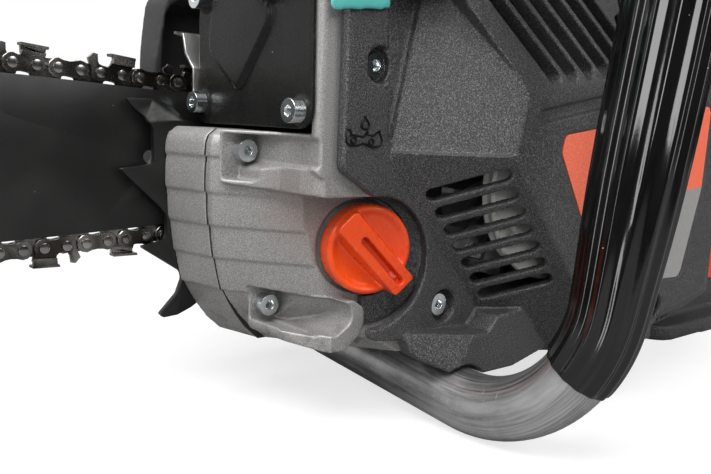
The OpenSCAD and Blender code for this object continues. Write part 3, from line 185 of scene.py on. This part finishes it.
def scuff_effect():
    """Short hairline scratches lying mostly one way; the turn is in radians."""
    tree, given, out = effect("Hairline scuffs", {"Length": 30.0, "Width": 1.2, "Turn": 0.4}, ["Scuff"])
    where = on_piece(tree)
    rotate = {"Vector": where, "Angle": given["Turn"]}
    turned = put(tree, "VectorRotate", rotate, rotation_type="Y_AXIS").outputs[0]
    along, over = per_metre(tree, given["Length"]), per_metre(tree, given["Width"])
    axes = put(tree, "CombineXYZ", {"X": along, "Y": over, "Z": over}).outputs[0]
    drawn = put(tree, "VectorMath", {0: turned, 1: axes}, operation="MULTIPLY").outputs[0]
    line = spread(tree, cloud(tree, drawn, scale=1.0, detail=2.0), 0.66, 0.72)
    patch = spread(tree, cloud(tree, where, scale=55.0, detail=2.0), 0.48, 0.6)
    join(tree, times(tree, line, patch), out["Scuff"])
    return tree


grain = grain_effect()
wear = wear_effect()
dust = dust_effect()
scuffs = scuff_effect()


# Finishes

dust_colour = (0.55, 0.54, 0.52)
# The grain heights between which roughness swings
grain_low, grain_high = 0.3, 0.7
# How far the plane of the bent front handle leans from upright
handle_lean = math.radians(9.0)
# Middle and reach of the casting's brown tint beside the filler
filler_edge = place(-112, -70, 84)
tint_full, tint_gone = 6 * mm, 24 * mm
# Heights between which the casting's darker spots low down fade out
low_dark_full, low_dark_gone = 30 * mm, 50 * mm
# Front and rear end of the line between the label's tones
label_split = (place(-6, 0, 86), place(99, 0, 96))


def surface(name):
    material = bpy.data.materials.new(name)
    material.use_nodes = True
    tree = material.node_tree
    return material, tree, tree.nodes["Principled BSDF"]


def coat(tree, bsdf, colour, rough, height, depth):
    """Joins colour and roughness, and a bump of the given depth in millimetres."""
    join(tree, colour, bsdf.inputs["Base Color"])
    join(tree, rough, bsdf.inputs["Roughness"])
    bumped = put(tree, "Bump", {"Height": height, "Distance": depth * mm, "Strength": 1.0})
    join(tree, bumped.outputs[0], bsdf.inputs["Normal"])


def skin(name, light, dark, rough, size, depth, metal=0.0, shine=0.5, worn=None, dusty=0.0, speck=0.0):
    """A grained finish: two tones mottled over the surface, painted glints on the grain's specks when speck
    is set, and grain in roughness and bump.

    worn is the colour of rubbed edges and the sharpness at which the wear starts.
    """
    rough_swing = 0.07
    material, tree, bsdf = surface(name)
    skin_grain = use(tree, grain, size=size)
    colour = tint(tree, skin_grain["Mottle"], dark, light)
    # speck lightens the grain's specks into painted glints.
    if speck:
        painted_glint = [min(1.0, c * (1 + speck) + 0.04 * speck) for c in light]
        colour = tint(tree, skin_grain["Specks"], colour, painted_glint)
    if worn:
        rubbed_colour, sharpness = worn
        colour = tint(tree, use(tree, wear, sharpness=sharpness)["Wear"], colour, rubbed_colour)
    if dusty:
        loose = times(tree, use(tree, dust, spacing=6.0, speck=0.045)["Dust"], dusty)
        colour = tint(tree, loose, colour, dust_colour)
    height = skin_grain["Height"]
    skin_rough = spread(tree, height, grain_low, grain_high, rough - rough_swing, rough + rough_swing)
    coat(tree, bsdf, colour, skin_rough, height, depth)
    bsdf.inputs["Metallic"].default_value = metal
    bsdf.inputs["Specular IOR Level"].default_value = shine
    return material


def cast_metal():
    """Blasted die casting: warm grey with painted glints on the grain's specks, brown tints in patches and by
    the filler, darker spots low down.
    """
    material, tree, bsdf = surface("cast_metal")
    skin_grain = use(tree, grain, size=0.42)
    height = skin_grain["Height"]
    where = on_piece(tree)
    base = tint(tree, skin_grain["Mottle"], (0.265, 0.258, 0.252), (0.31, 0.304, 0.298))
    pits = spread(tree, height, 0.5, 0.36)
    base = tint(tree, pits, base, (0.2, 0.195, 0.19))
    # Painted glints on the grain's specks.
    base = tint(tree, skin_grain["Specks"], base, (0.41, 0.403, 0.396))
    patches = cloud(tree, where, scale=26.0, detail=6.0, roughness=0.7)
    rusty = spread(tree, patches, 0.58, 0.74, 0.0, 0.2)
    base = tint(tree, rusty, base, (0.2, 0.14, 0.12))
    away = put(tree, "VectorMath", {0: where, 1: tuple(filler_edge)}, operation="DISTANCE").outputs["Value"]
    by_filler = spread(tree, away, tint_gone, tint_full, 0.0, 0.35)
    base = tint(tree, by_filler, base, (0.24, 0.13, 0.1))
    # Darker spots towards the bottom.
    ground_height = put(tree, "SeparateXYZ", {"Vector": where}).outputs["Z"]
    low = spread(tree, ground_height, low_dark_gone, low_dark_full)
    spots = cloud(tree, where, scale=120.0, detail=5.0, roughness=0.7)
    low_dark_spots = spread(tree, spots, 0.5, 0.62, 0.0, 0.75)
    base = tint(tree, times(tree, low, low_dark_spots), base, (0.05, 0.045, 0.04))
    rubbed = times(tree, use(tree, wear, sharpness=0.52, breakup=70.0)["Wear"], 0.7)
    base = tint(tree, rubbed, base, (0.56, 0.55, 0.53))
    rough = spread(tree, height, grain_low, grain_high, 0.55, 0.38)
    coat(tree, bsdf, base, rough, height, depth=0.09)
    bsdf.inputs["Metallic"].default_value = 0.35
    return material


def bright_metal(name, light, dark, rough, length, width, turn, scuffed=0.5):
    """Plated, ground or drawn metal with hairlines along one way."""
    material, tree, bsdf = surface(name)
    mottle = use(tree, grain, size=0.35)["Mottle"]
    line = use(tree, scuffs, length=length, width=width, turn=turn)["Scuff"]
    scratch = [min(1, c * 1.5) for c in light]
    base = tint(tree, mottle, dark, light)
    base = tint(tree, times(tree, line, scuffed), base, scratch)
    mottled_rough = spread(tree, mottle, 0, 1, rough - 0.04, rough + 0.05)
    coat(tree, bsdf, base, mottled_rough, line, depth=0.02)
    bsdf.inputs["Metallic"].default_value = 1.0
    return material


def bare_tube():
    """Drawn tube, bare: lines run along it at one distance from the plane it is bent in."""
    lines_per_metre, stretch = 1400.0, 22.0
    material, tree, bsdf = surface("bare_tube")
    where = on_piece(tree)
    across = (math.cos(handle_lean), 0.0, -math.sin(handle_lean))
    offset = put(tree, "VectorMath", {0: where, 1: across}, operation="DOT_PRODUCT").outputs["Value"]
    parts = put(tree, "SeparateXYZ", {"Vector": where}).outputs
    line_place = put(tree, "CombineXYZ", {
        "X": times(tree, offset, lines_per_metre),
        "Y": times(tree, parts["Y"], stretch),
        "Z": times(tree, parts["Z"], stretch),
    }).outputs[0]
    drawn = cloud(tree, line_place, scale=1.0, detail=4.0, roughness=0.65)
    nick = use(tree, scuffs, length=9.0, width=0.9, turn=0.9)["Scuff"]
    patches = cloud(tree, where, scale=34.0, detail=6.0, roughness=0.65)
    dull = spread(tree, patches, 0.5, 0.72, 0.0, 0.55)
    base = tint(tree, spread(tree, drawn, 0.35, 0.65), (0.27, 0.268, 0.27), (0.55, 0.548, 0.55))
    base = tint(tree, dull, base, (0.2, 0.19, 0.185))
    base = tint(tree, times(tree, nick, 0.7), base, (0.8, 0.79, 0.78))
    rough = spread(tree, drawn, grain_low, grain_high, 0.24, 0.44)
    coat(tree, bsdf, base, rough, math_node(tree, "ADD", drawn, nick), depth=0.03)
    bsdf.inputs["Metallic"].default_value = 0.9
    return material


def grip():
    """Glossy moulded grip with faint flow marks, a few hairlines and loose specks."""
    material, tree, bsdf = surface("grip")
    skin_grain = use(tree, grain, size=6.0)
    base = tint(tree, skin_grain["Mottle"], (0.0025, 0.0025, 0.0025), (0.005, 0.005, 0.005))
    base = tint(tree, use(tree, dust, spacing=9.0, speck=0.03)["Dust"], base, (0.5, 0.5, 0.5))
    line = use(tree, scuffs, length=40.0, width=0.7, turn=1.45)["Scuff"]
    streak = spread(tree, skin_grain["Mottle"], 0, 1, 0.07, 0.12)
    rough = math_node(tree, "ADD", streak, times(tree, line, 0.12))
    coat(tree, bsdf, base, rough, skin_grain["Height"], depth=0.02)
    bsdf.inputs["Specular IOR Level"].default_value = 0.5
    return material


def label():
    """Two-tone label: orange over grey along a slanting line, under a fine printed grain with painted glints.
    """
    material, tree, bsdf = surface("label")
    parts = put(tree, "SeparateXYZ", {"Vector": on_piece(tree)}).outputs
    front, rear = label_split
    slope = (rear.z - front.z) / (rear.x - front.x)
    rise = front.z - slope * front.x
    line = put(tree, "Math", {0: parts["X"], 1: slope, 2: rise}, operation="MULTIPLY_ADD").outputs[0]
    upper = math_node(tree, "GREATER_THAN", parts["Z"], line)
    skin_grain = use(tree, grain, size=0.5)
    height = skin_grain["Height"]
    # Painted glints on the grain's specks, on both tones.
    orange = tint(tree, skin_grain["Specks"], (0.95, 0.14, 0.06), (1.0, 0.3, 0.18))
    grey = tint(tree, skin_grain["Specks"], (0.3, 0.295, 0.29), (0.42, 0.415, 0.41))
    rough = spread(tree, height, grain_low, grain_high, 0.34, 0.5)
    coat(tree, bsdf, tint(tree, upper, grey, orange), rough, height, depth=0.03)
    return material


def orange_plastic():
    """Glossy moulded orange with a little sink and rubbed pale edges."""
    material, tree, bsdf = surface("orange_plastic")
    skin_grain = use(tree, grain, size=3.0)
    height = skin_grain["Height"]
    base = tint(tree, skin_grain["Mottle"], (0.68, 0.05, 0.004), (0.8, 0.072, 0.005))
    rubbed = use(tree, wear, sharpness=0.54, breakup=150.0)["Wear"]
    base = tint(tree, rubbed, base, (0.82, 0.16, 0.045))
    line = use(tree, scuffs, length=6.0, width=0.4, turn=0.7)["Scuff"]
    base = tint(tree, times(tree, line, 0.4), base, (0.8, 0.3, 0.16))
    moulded_rough = spread(tree, height, grain_low, grain_high, 0.24, 0.34)
    rough = math_node(tree, "ADD", moulded_rough, times(tree, line, 0.2))
    coat(tree, bsdf, base, rough, height, depth=0.04)
    bsdf.inputs["Subsurface Weight"].default_value = 0.04
    bsdf.inputs["Subsurface Radius"].default_value = (2 * mm, 0.6 * mm, 0.3 * mm)
    return material


grained_finishes = {
    "gasket": dict(light=(0.03, 0.027, 0.022), dark=(0.015, 0.013, 0.011), rough=0.8, size=0.5, depth=0.05),
    "muffler_black": dict(light=(0.012, 0.012, 0.0115), dark=(0.007, 0.007, 0.0068), rough=0.3, size=0.9,
                          depth=0.03, shine=0.2, worn=((0.1, 0.096, 0.09), 0.55), dusty=0.4),
    "rubber": dict(light=(0.022, 0.022, 0.022), dark=(0.012, 0.012, 0.012), rough=0.75, size=0.6, depth=0.05,
                   dusty=0.3),
    "filter": dict(light=(0.42, 0.36, 0.25), dark=(0.3, 0.26, 0.18), rough=0.9, size=0.4, depth=0.1),
    "teal_plastic": dict(light=(0.1, 0.47, 0.43), dark=(0.075, 0.4, 0.37), rough=0.34, size=1.4, depth=0.03,
                         worn=((0.3, 0.6, 0.58), 0.55)),
    # The reel's near-white is lighter than its own pale tone: painted light for the light that reaches it
    # through the vents.
    "reel_plastic": dict(light=(0.96, 0.98, 0.92), dark=(0.92, 0.95, 0.88), rough=0.3, size=0.8, depth=0.04),
    # The speck of black_plastic and grey_plastic sets how bright their painted glints are.
    "black_plastic": dict(light=(0.017, 0.017, 0.0175), dark=(0.011, 0.011, 0.0115), rough=0.42, size=0.48,
                          depth=0.3, shine=0.55, speck=2.5, worn=((0.1, 0.1, 0.1), 0.57), dusty=0.25),
    "grey_plastic": dict(light=(0.1, 0.1, 0.1), dark=(0.065, 0.065, 0.065), rough=0.5, size=0.7, depth=0.1,
                         speck=0.5),
    "bar_steel": dict(light=(0.018, 0.018, 0.0172), dark=(0.009, 0.009, 0.0086), rough=0.38, size=0.5,
                      depth=0.02, metal=0.3, worn=((0.22, 0.22, 0.21), 0.55), dusty=0.2),
    "chain_steel": dict(light=(0.075, 0.066, 0.055), dark=(0.028, 0.025, 0.022), rough=0.27, size=0.5,
                        depth=0.03, metal=1.0, worn=((0.4, 0.385, 0.36), 0.53)),
    # Near-black lines of the sign: painted shade for its engraved grooves
    "sign_black": dict(light=(0.004, 0.004, 0.004), dark=(0.002, 0.002, 0.002), rough=0.35, size=0.8,
                       depth=0.02, shine=0.25),
    "cover_black": dict(light=(0.045, 0.045, 0.045), dark=(0.034, 0.034, 0.034), rough=0.62, size=0.6,
                        depth=0.12, shine=0.2, dusty=0.25),
}
bright_finishes = {
    "zinc": dict(light=(0.72, 0.75, 0.76), dark=(0.6, 0.64, 0.66), rough=0.2, length=5.0, width=0.5, turn=0.3,
                 scuffed=0.15),
    "machined_steel": dict(light=(0.5, 0.5, 0.5), dark=(0.34, 0.34, 0.34), rough=0.3, length=8.0, width=0.2,
                           turn=0.0),
    "sheet_steel": dict(light=(0.5, 0.49, 0.48), dark=(0.3, 0.29, 0.28), rough=0.34, length=12.0, width=0.4,
                        turn=0.1),
    "rivet_steel": dict(light=(0.42, 0.41, 0.4), dark=(0.2, 0.19, 0.18), rough=0.2, length=2.0, width=0.2,
                        turn=0.5),
}
finishes = {name: skin(name, **values) for name, values in grained_finishes.items()}
finishes.update({name: bright_metal(name, **values) for name, values in bright_finishes.items()})
finishes.update({make.__name__: make() for make in (cast_metal, label, orange_plastic, bare_tube, grip)})

# A node's finish is its slot's, apart from the rivets, which shine, and the clutch cover, which is dull.
own_finish = {"chain_rivets": "rivet_steel", "clutch_cover": "cover_black"}
slot_of = {name: obj.data.materials[0].name.split(".")[0] for name, obj in nodes.items()}


def finish_of(node):
    return finishes[own_finish.get(node, slot_of[node])]


for name, obj in nodes.items():
    obj.data.materials.clear()
    obj.data.materials.append(finish_of(name))


# Pieces shaped further than their solids


def into_scene(name, data):
    obj = bpy.data.objects.new(name, data)
    bpy.context.scene.collection.objects.link(obj)
    return obj


def reshape(mesh, change):
    """Runs one change on the mesh's faces and edges."""
    shape = bmesh.new()
    shape.from_mesh(mesh)
    change(shape)
    shape.to_mesh(mesh)
    shape.free()


def fresh_copy(node, name):
    """A free copy of a solid's mesh, with the splits between its faces closed."""
    mesh = nodes[node].data.copy()
    reshape(mesh, lambda shape: bmesh.ops.remove_doubles(shape, verts=shape.verts, dist=0.002 * mm))
    return into_scene(name, mesh)


def final_mesh(obj):
    return bpy.data.meshes.new_from_object(obj.evaluated_get(bpy.context.evaluated_depsgraph_get()))


def settle(piece):
    """Turns the piece's modifiers into plain mesh, shaded smooth."""
    mesh = final_mesh(piece)
    piece.modifiers.clear()
    piece.data = mesh
    mesh.polygons.foreach_set("use_smooth", [True] * len(mesh.polygons))


def stand_for(piece, node):
    piece.data.materials.clear()
    piece.data.materials.append(finish_of(node))
    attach(piece, body_of[node])
    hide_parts(node)


def moulded(node, cell, passes):
    """Rounds every edge as a mould does: the solid is rebuilt in small cells, then relaxed."""
    piece = fresh_copy(node, node + "_moulded")
    cells = piece.modifiers.new("cells", "REMESH")
    cells.mode, cells.voxel_size = "VOXEL", cell * mm
    relax = piece.modifiers.new("relax", "SMOOTH")
    relax.factor, relax.iterations = 0.5, passes
    settle(piece)
    stand_for(piece, node)


def broken_edges(node, width, steps=2, angle=32):
    """Takes the sharp edges off a stamped or turned piece; the width is in millimetres."""
    flat = math.radians(0.4)
    piece = fresh_copy(node, node + "_eased")
    reshape(piece.data, lambda shape: bmesh.ops.dissolve_limit(
        shape, angle_limit=flat, verts=shape.verts, edges=shape.edges))
    ease = piece.modifiers.new("ease", "BEVEL")
    ease.width, ease.segments = width * mm, steps
    ease.limit_method, ease.angle_limit = "ANGLE", math.radians(angle)
    settle(piece)
    piece.data.set_sharp_from_angle(angle=math.radians(angle))
    stand_for(piece, node)


def fluted_sleeve():
    """The grip's flutes, drawn out smooth from the solid's coarse ribs."""
    fold, skew = math.radians(40), math.radians(60)
    piece = fresh_copy("handle_sleeve", "handle_sleeve_fluted")
    reshape(piece.data, lambda shape: bmesh.ops.join_triangles(
        shape, faces=shape.faces, angle_face_threshold=fold, angle_shape_threshold=skew))
    flow = piece.modifiers.new("flow", "SUBSURF")
    flow.levels = flow.render_levels = 2
    settle(piece)
    stand_for(piece, "handle_sleeve")


# Cell size in millimetres and relaxing passes for each casting or moulding
mouldings = {
    "crankcase_left": (0.55, 3),
    "crankcase_right": (0.65, 3),
    "starter_cover": (0.65, 3),
    "top_cover": (1.1, 6),
    "rear_handle": (1.4, 6),
    "clutch_cover": (1.1, 5),
    "hand_guard": (1.1, 5),
    "oil_cap": (0.4, 6),
    "muffler_shield": (0.6, 4),
    "chain_catcher": (0.6, 4),
}
stampings = ("guide_bar", "spike_bumper", "muffler_bracket")
chain_links = ("drive_links", "tie_straps", "cutters_near", "cutters_far")
screw_sets = ("crankcase_screws", "starter_screws", "muffler_bolts", "spike_screws", "bar_nuts")

for node, (cell, passes) in mouldings.items():
    moulded(node, cell, passes)
fluted_sleeve()
for node in stampings:
    broken_edges(node, width=0.4)
for node in chain_links:
    broken_edges(node, width=0.22, steps=1)
broken_edges("chain_rivets", width=0.2)
for node in screw_sets:
    broken_edges(node, width=0.1, steps=1, angle=28)


# Sign moulded into the cover above the filler: a drop over a link of chain, as X and Z on the cover; its
# near-black lines are painted shade for the sign's engraved grooves

drop = [
    (-97.9, 122.3), (-99.2, 120), (-99.5, 119), (-98.9, 118.2), (-97.6, 117.8), (-96.3, 118.2),
    (-95.7, 119.1), (-96, 120),
]
link = [
    (-106.6, 117.8), (-104.5, 117.4), (-104.1, 115.8), (-98.1, 115.2), (-96.4, 117.2), (-96.8, 116),
    (-93.6, 115.6), (-90.8, 117.4), (-89.2, 114), (-90.1, 112), (-93.3, 111.5), (-96.1, 112.2),
    (-98.6, 112.8), (-100.9, 112), (-104, 112), (-106.2, 113.2),
]
rivet_spots = [(-102.9, 113.9), (-94.4, 113.4)]
rivet_ring_r, rivet_ring_points = 1.1, 12
sign_y = -88.2
sign_line_r = 0.42


def rivet_ring(x, z):
    turn = 2 * math.pi / rivet_ring_points
    return [(x + rivet_ring_r * math.cos(k * turn), z + rivet_ring_r * math.sin(k * turn))
            for k in range(rivet_ring_points)]


def filler_sign():
    """Raised lines, one closed loop for each outline."""
    lines = bpy.data.curves.new("filler_sign", "CURVE")
    lines.dimensions, lines.bevel_depth, lines.bevel_resolution = "3D", sign_line_r * mm, 2
    for outline in [drop, link, *(rivet_ring(x, z) for x, z in rivet_spots)]:
        loop = lines.splines.new("POLY")
        loop.points.add(len(outline) - 1)
        for point, (x, z) in zip(loop.points, outline):
            point.co = (*place(x, sign_y, z), 1)
        loop.use_cyclic_u = True
    drawn = into_scene("sign_lines", lines)
    mesh = final_mesh(drawn)
    bpy.data.objects.remove(drawn)
    mesh.materials.clear()
    # The sign's near-black is painted shade
    mesh.materials.append(finishes["sign_black"])
    piece = into_scene("filler_sign", mesh)
    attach(piece, body_of["starter_cover"])


filler_sign()


# Camera, floor and light

photo_spot = place(-294.6, -306.9, 121.4)
photo_azimuth = math.radians(-41.66)
photo_elevation = math.radians(8.165)
photo_roll = math.radians(2.476)
photo_lens, photo_sensor = 41.72, 36

light_aim = place(-40, -60, 100)
# Place, width and height in metres, and watts of each soft box
soft_boxes = {
    "top_box": (place(-600, -250, 1000), 1.0, 0.8, 18),
    "left_strip": (place(-1100, 100, 450), 0.12, 1.3, 3.5),
    "front_box": (place(-700, -850, 420), 0.3, 0.3, 2.5),
    "right_box": (place(750, -950, 260), 0.2, 1.0, 2),
    "side_box": (place(250, -1000, 800), 0.5, 0.5, 5),
}
white = (1, 1, 1, 1)
fill_colour, fill_strength = (0.9, 0.92, 0.95, 1), 0.09
# How far back a reflection points where the wall starts to brighten and is brightest, and its two levels
wall_from, wall_to = 0.0, 0.65
wall_dark, wall_bright = 0.08, 0.85

# The floor's half width in metres, its grey, and the reach and levels of its fade to white
floor_half = 6.0
floor_grey = (0.35, 0.35, 0.35, 1)
floor_glow_from, floor_glow_to = 0.5, 2.2
floor_glow_near, floor_glow_far = 0.72, 1.0


def photo_camera():
    """Close by the front left corner, slightly above the filler cap."""
    level_reach = math.cos(photo_elevation)
    back = Vector((
        math.sin(photo_azimuth) * level_reach,
        -math.cos(photo_azimuth) * level_reach,
        math.sin(photo_elevation),
    ))
    level = Vector((math.cos(photo_azimuth), math.sin(photo_azimuth), 0))
    right = Matrix.Rotation(photo_roll, 3, back) @ level
    camera = bpy.data.cameras.new("camera")
    camera.sensor_width, camera.lens, camera.clip_start = photo_sensor, photo_lens, 10 * mm
    obj = into_scene("camera", camera)
    obj.matrix_world = Matrix((right, back.cross(right), back)).transposed().to_4x4()
    obj.matrix_world.translation = photo_spot
    bpy.context.scene.camera = obj


def soft_box(name, spot, width, height, watts):
    lamp = bpy.data.lights.new(name, "AREA")
    lamp.shape = "RECTANGLE"
    lamp.size, lamp.size_y, lamp.energy = width, height, watts
    obj = into_scene(name, lamp)
    obj.location = spot
    obj.rotation_euler = (light_aim - spot).to_track_quat("-Z", "Y").to_euler()


def studio():
    """Soft boxes, a weak fill, and for reflections a wall that is dark in front and light behind."""
    for name, box in soft_boxes.items():
        soft_box(name, *box)
    world = bpy.data.worlds.new("studio")
    bpy.context.scene.world = world
    world.use_nodes = True
    tree = world.node_tree
    tree.nodes.clear()
    path = put(tree, "LightPath").outputs
    mirrored = math_node(tree, "MAXIMUM", path["Is Glossy Ray"], path["Is Transmission Ray"])
    seen = math_node(tree, "MAXIMUM", path["Is Camera Ray"], mirrored)
    direction = put(tree, "TexCoord").outputs["Generated"]
    backwards = put(tree, "SeparateXYZ", {"Vector": direction}).outputs["Y"]
    wall = spread(tree, backwards, wall_from, wall_to, wall_dark, wall_bright)
    level = math_node(tree, "MAXIMUM", wall, path["Is Camera Ray"])
    fill = put(tree, "Background", {"Color": fill_colour, "Strength": fill_strength}).outputs[0]
    bright = put(tree, "Background", {"Color": white, "Strength": level}).outputs[0]
    mix = put(tree, "MixShader", {0: seen, 1: fill, 2: bright}).outputs[0]
    join(tree, mix, put(tree, "OutputWorld").inputs["Surface"])


def pale_floor():
    """A floor that keeps the shadow and fades to white away from the saw."""
    mesh = bpy.data.meshes.new("floor")
    corners = [(x * floor_half, y * floor_half, 0) for x, y in ((-1, -1), (1, -1), (1, 1), (-1, 1))]
    mesh.from_pydata(corners, [], [(0, 1, 2, 3)])
    material, tree, bsdf = surface("pale_floor")
    bsdf.inputs["Base Color"].default_value = floor_grey
    bsdf.inputs["Roughness"].default_value = 0.9
    bsdf.inputs["Specular IOR Level"].default_value = 0.1
    bsdf.inputs["Emission Color"].default_value = white
    seen = put(tree, "LightPath").outputs["Is Camera Ray"]
    reach = put(tree, "VectorMath", {0: on_piece(tree)}, operation="LENGTH").outputs["Value"]
    glow = spread(tree, reach, floor_glow_from, floor_glow_to, floor_glow_near, floor_glow_far)
    join(tree, times(tree, seen, glow), bsdf.inputs["Emission Strength"])
    mesh.materials.append(material)
    into_scene("floor", mesh)


photo_camera()
studio()
pale_floor()
bpy.context.scene.view_settings.view_transform = "Standard"
